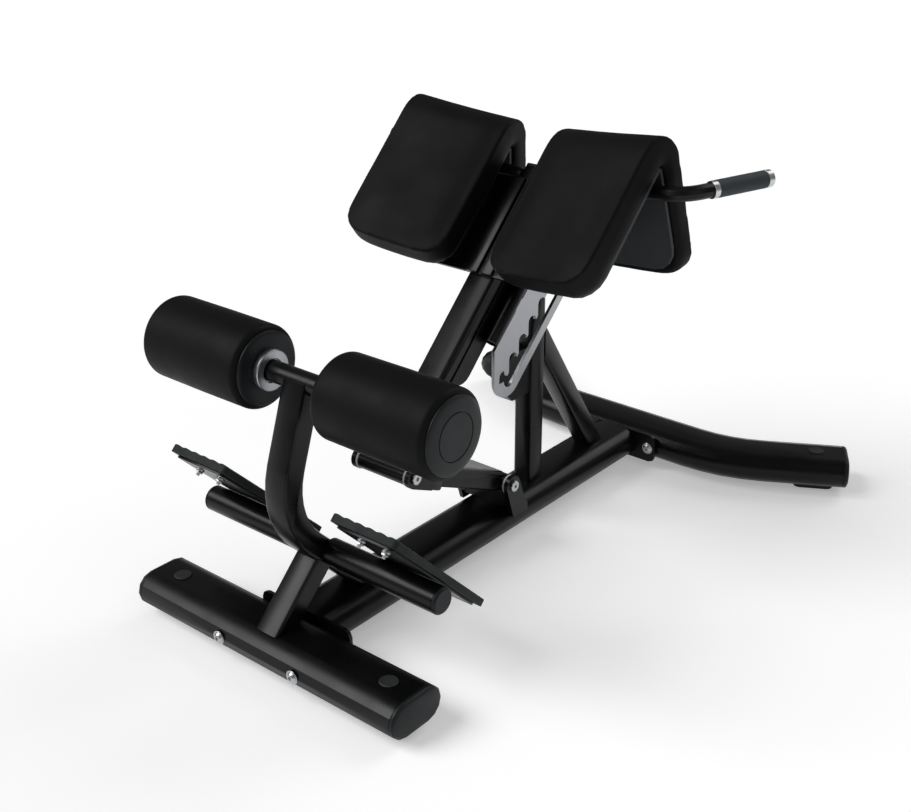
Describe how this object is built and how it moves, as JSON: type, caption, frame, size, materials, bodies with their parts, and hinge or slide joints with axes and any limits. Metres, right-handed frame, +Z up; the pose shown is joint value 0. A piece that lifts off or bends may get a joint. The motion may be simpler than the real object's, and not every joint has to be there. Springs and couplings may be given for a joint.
{
  "type": "back extension machine",
  "caption": "45 degree back extension bench with angled hip pads, leg rollers, foot plates and side handles on an adjustable black steel frame.",
  "frame": {"origin": "on the floor, on the centre plane, under the middle of the machine's length", "axes": "+Z up, +Y from the foot plates to the hip pads, +X to the user's right"},
  "size_m": [0.8796, 1.1796, 0.7353],
  "materials": {
    "black_frame": "satin powder coat",
    "grey_steel": "satin",
    "chrome": "polished",
    "aluminium": "satin",
    "black_plastic": "satin",
    "grip_foam": "matt",
    "rubber": "matt",
    "nylon": "satin",
    "vinyl": "matt grained vinyl",
    "roller_cover": "matt grained vinyl over foam",
    "pad_board": "matt",
    "tread": "ribbed, matt"
  },
  "bodies": {
    "base": {"column": "black_frame", "foot_backing_left": "black_frame", "foot_backing_right": "black_frame", "foot_bar_cap_left": "black_plastic", "foot_bar_cap_right": "black_plastic", "foot_bar_left": "black_frame", "foot_bar_right": "black_frame", "foot_plate_left": "tread", "foot_plate_right": "tread", "foot_screw_inner_left": "chrome", "foot_screw_inner_right": "chrome", "foot_screw_outer_left": "chrome", "foot_screw_outer_right": "chrome", "front_bolt_left": "chrome", "front_bolt_right": "chrome", "front_foot_cap_left": "black_plastic", "front_foot_cap_right": "black_plastic", "front_foot_pad_left": "rubber", "front_foot_pad_right": "rubber", "front_foot_tube": "black_frame", "link_buffer": "rubber", "pivot_bolt_lower": "chrome", "pivot_bracket": "black_frame", "pivot_bush_lower": "nylon", "post": "black_frame", "rail_tube": "black_frame", "rear_bolt_left": "chrome", "rear_bolt_right": "chrome", "rear_foot_left": "rubber", "rear_foot_right": "rubber", "rear_leg": "black_frame", "roller_crossbar": "grey_steel", "rubber_stop": "rubber", "stabiliser_cap_left": "black_plastic", "stabiliser_cap_right": "black_plastic", "stabiliser_tube": "black_frame", "strut": "black_frame"},
    "swing_link": {"pivot_bolt_upper": "chrome", "pivot_bush_upper": "nylon", "swing_link": "black_frame"},
    "pad_frame": {"handle_bar_left": "black_frame", "handle_bar_right": "black_frame", "handle_core_left": "aluminium", "handle_core_right": "aluminium", "handle_grip_left": "grip_foam", "handle_grip_right": "grip_foam", "hip_pad_left": "vinyl", "hip_pad_right": "vinyl", "notched_plate": "grey_steel", "pad_board_left": "pad_board", "pad_board_right": "pad_board", "rear_channel": "black_frame", "seat_tube": "black_frame", "seat_tube_cap": "black_plastic", "side_tube": "black_frame", "wing_plate": "black_frame"},
    "roller_left": {"roller_hub_left": "black_plastic", "roller_foam_left": "roller_cover"},
    "roller_right": {"roller_hub_right": "black_plastic", "roller_foam_right": "roller_cover"}
  },
  "joints": [
    {"name": "link_swing", "type": "hinge", "parent": "base", "child": "swing_link", "pos_m": [0, -0.03431, 0.1218], "axis": [-1, 0, 0], "range_deg": [0, 33.5]},
    {"name": "pad_frame_tilt", "type": "hinge", "parent": "swing_link", "child": "pad_frame", "pos_m": [0, -0.28761, 0.2396], "axis": [-1, 0, 0], "range_deg": [-33.5, 0]},
    {"name": "roller_spin_left", "type": "hinge", "parent": "base", "child": "roller_left", "pos_m": [0, -0.45811, 0.4463], "axis": [1, 0, 0], "continuous": true},
    {"name": "roller_spin_right", "type": "hinge", "parent": "base", "child": "roller_right", "pos_m": [0, -0.45811, 0.4463], "axis": [1, 0, 0], "continuous": true}
  ],
  "couplings": [
    {"joint": "pad_frame_tilt", "follows": "link_swing", "ratio": -1}
  ]
}
